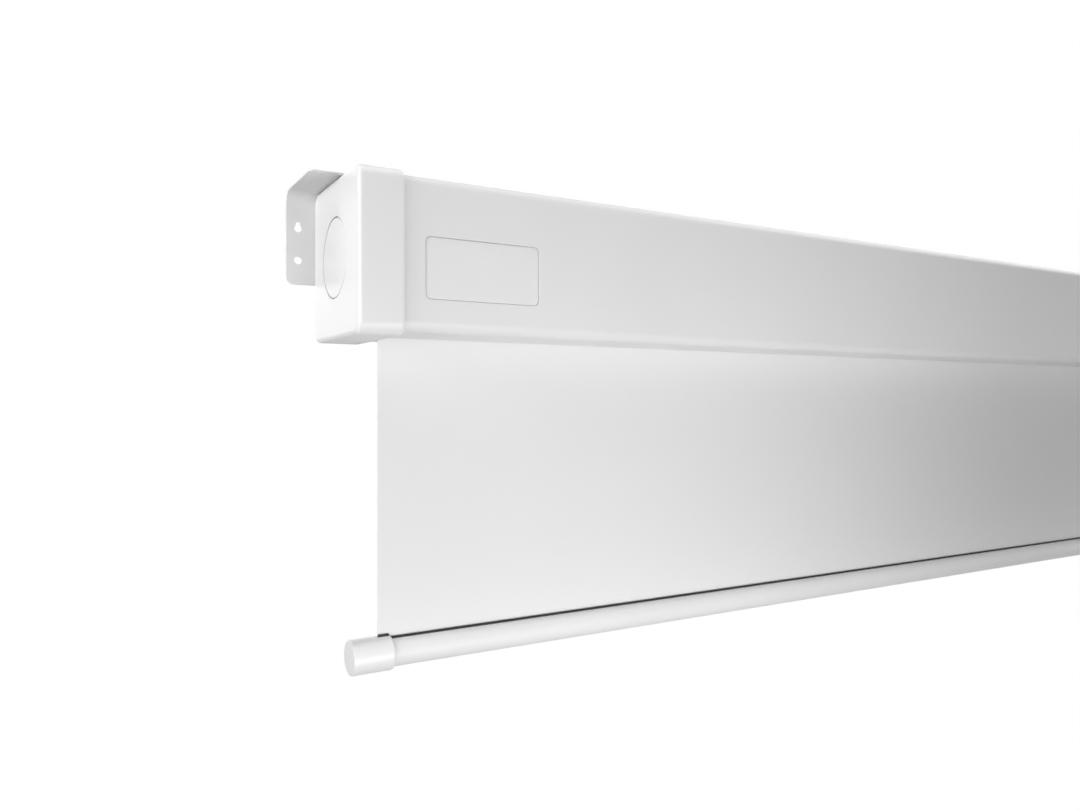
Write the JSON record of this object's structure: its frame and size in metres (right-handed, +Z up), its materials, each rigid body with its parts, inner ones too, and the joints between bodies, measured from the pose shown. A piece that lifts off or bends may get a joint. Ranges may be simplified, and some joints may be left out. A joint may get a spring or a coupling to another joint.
{
  "type": "motorised projector screen",
  "caption": "Motorised roll-down projector screen: a slim white case on L-shaped wall and ceiling brackets, with its plain cloth and round bottom bar partly lowered.",
  "frame": {"origin": "on the back of the left wall bracket, between its keyhole and its round hole and in line with both, 10.3 mm below the keyhole's eye and 8 mm above the round hole's centre", "axes": "+X along the case to the viewer's right, +Y into the wall, +Z up"},
  "size_m": [1.8822, 0.0843, 0.2717],
  "materials": {
    "coated_aluminium": "extruded aluminium with a satin white powder coat",
    "coated_steel": "bent 1 mm steel sheet with a satin white powder coat",
    "white_plastic": "white injection moulded plastic, satin",
    "screen_cloth": "matt white coated cloth",
    "bare_aluminium": "bare extruded aluminium",
    "grey_plastic": "grey moulded plastic",
    "black_plastic": "black moulded plastic",
    "dark_enamel": "dark enamelled steel tube",
    "yellow_plastic": "yellow moulded plastic",
    "zinc_plated_steel": "zinc plated steel"
  },
  "bodies": {
    "casing": {"case_profile": "coated_aluminium", "badge_plate": "white_plastic", "end_cap_left": "white_plastic", "end_cap_right": "white_plastic", "cover_disc_left": "white_plastic", "cover_disc_right": "white_plastic", "wall_bracket_left": "coated_steel", "wall_bracket_right": "coated_steel", "idler_plate": "zinc_plated_steel", "motor_plate": "zinc_plated_steel", "idler_bush": "black_plastic", "motor_head": "black_plastic", "motor_housing": "dark_enamel", "motor_stub": "zinc_plated_steel", "stub_pin": "zinc_plated_steel", "cable_gland": "white_plastic", "cloth_lead": "screen_cloth", "plate_screw_left_1": "zinc_plated_steel", "plate_screw_left_2": "zinc_plated_steel", "plate_screw_left_3": "zinc_plated_steel", "plate_screw_left_4": "zinc_plated_steel", "plate_screw_right_1": "zinc_plated_steel", "plate_screw_right_2": "zinc_plated_steel", "plate_screw_right_3": "zinc_plated_steel", "plate_screw_right_4": "zinc_plated_steel", "cap_screw_left_1": "zinc_plated_steel", "cap_screw_left_2": "zinc_plated_steel", "cap_screw_right_1": "zinc_plated_steel", "cap_screw_right_2": "zinc_plated_steel", "bracket_screw_left_1": "zinc_plated_steel", "bracket_screw_left_2": "zinc_plated_steel", "bracket_screw_right_1": "zinc_plated_steel", "bracket_screw_right_2": "zinc_plated_steel"},
    "roller": {"roller_tube": "bare_aluminium", "cloth_roll": "screen_cloth", "cloth_spline": "grey_plastic", "idler_plug": "grey_plastic", "idler_pin": "zinc_plated_steel", "limit_ring": "grey_plastic", "drive_wheel": "grey_plastic", "motor_output_shaft": "zinc_plated_steel", "shaft_clip": "zinc_plated_steel", "drive_pin_1": "zinc_plated_steel", "drive_pin_2": "zinc_plated_steel"},
    "bottom_bar": {"screen_cloth": "screen_cloth", "bar_tube": "coated_aluminium", "bar_seal": "black_plastic", "hem_rod": "grey_plastic", "bar_cap_left": "white_plastic", "bar_cap_right": "white_plastic"},
    "limit_adjuster_up": {"limit_screw_up": "yellow_plastic"},
    "limit_adjuster_down": {"limit_screw_down": "yellow_plastic"}
  },
  "joints": [
    {"name": "roller_spin", "type": "hinge", "parent": "casing", "child": "roller", "pos_m": [0.9343, -0.0423, -0.0122], "axis": [-1, 0, 0], "range_deg": [-394, 2104]},
    {"name": "bar_drop", "type": "slide", "parent": "casing", "child": "bottom_bar", "axis": [0, 0, -1], "range_m": [-0.16, 0.853], "deforming": ["screen_cloth"]},
    {"name": "limit_screw_up_turn", "type": "hinge", "parent": "casing", "child": "limit_adjuster_up", "pos_m": [1.85, -0.0503, -0.0182], "axis": [1, 0, 0], "continuous": true},
    {"name": "limit_screw_down_turn", "type": "hinge", "parent": "casing", "child": "limit_adjuster_down", "pos_m": [1.85, -0.0343, -0.0182], "axis": [1, 0, 0], "continuous": true}
  ],
  "couplings": [
    {"joint": "bar_drop", "follows": "roller_spin", "m_per_rad": 0.0232}
  ]
}
